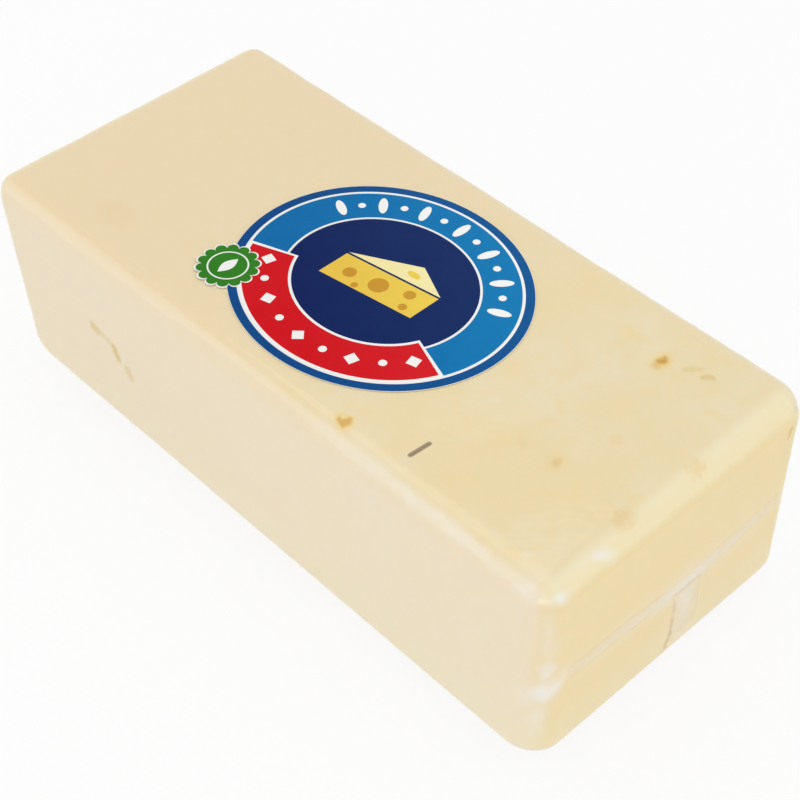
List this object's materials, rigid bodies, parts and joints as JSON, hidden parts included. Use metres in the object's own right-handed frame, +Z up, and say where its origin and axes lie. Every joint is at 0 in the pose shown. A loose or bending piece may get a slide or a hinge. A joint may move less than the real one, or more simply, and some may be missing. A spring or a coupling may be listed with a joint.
{
  "type": "hard cheese block",
  "caption": "Brick of pale hard cheese sealed tight in clear film, lying flat, with folded end seams and a round printed label on its top.",
  "frame": {"origin": "middle of the underside, on the surface that the block lies on", "axes": "+Z up, +X along the block's length towards the near end, +Y across the block away from the shown long side"},
  "size_m": [0.191, 0.089, 0.0622],
  "materials": {
    "cheese": "soft satin, slightly translucent, under clear gloss film",
    "film": "clear gloss film",
    "label": "coated paper, printed"
  },
  "bodies": {
    "root": {"cheese_pack": "cheese", "label_sticker": "label", "end_seam_near": "film", "end_seam_far": "film"}
  },
  "joints": []
}
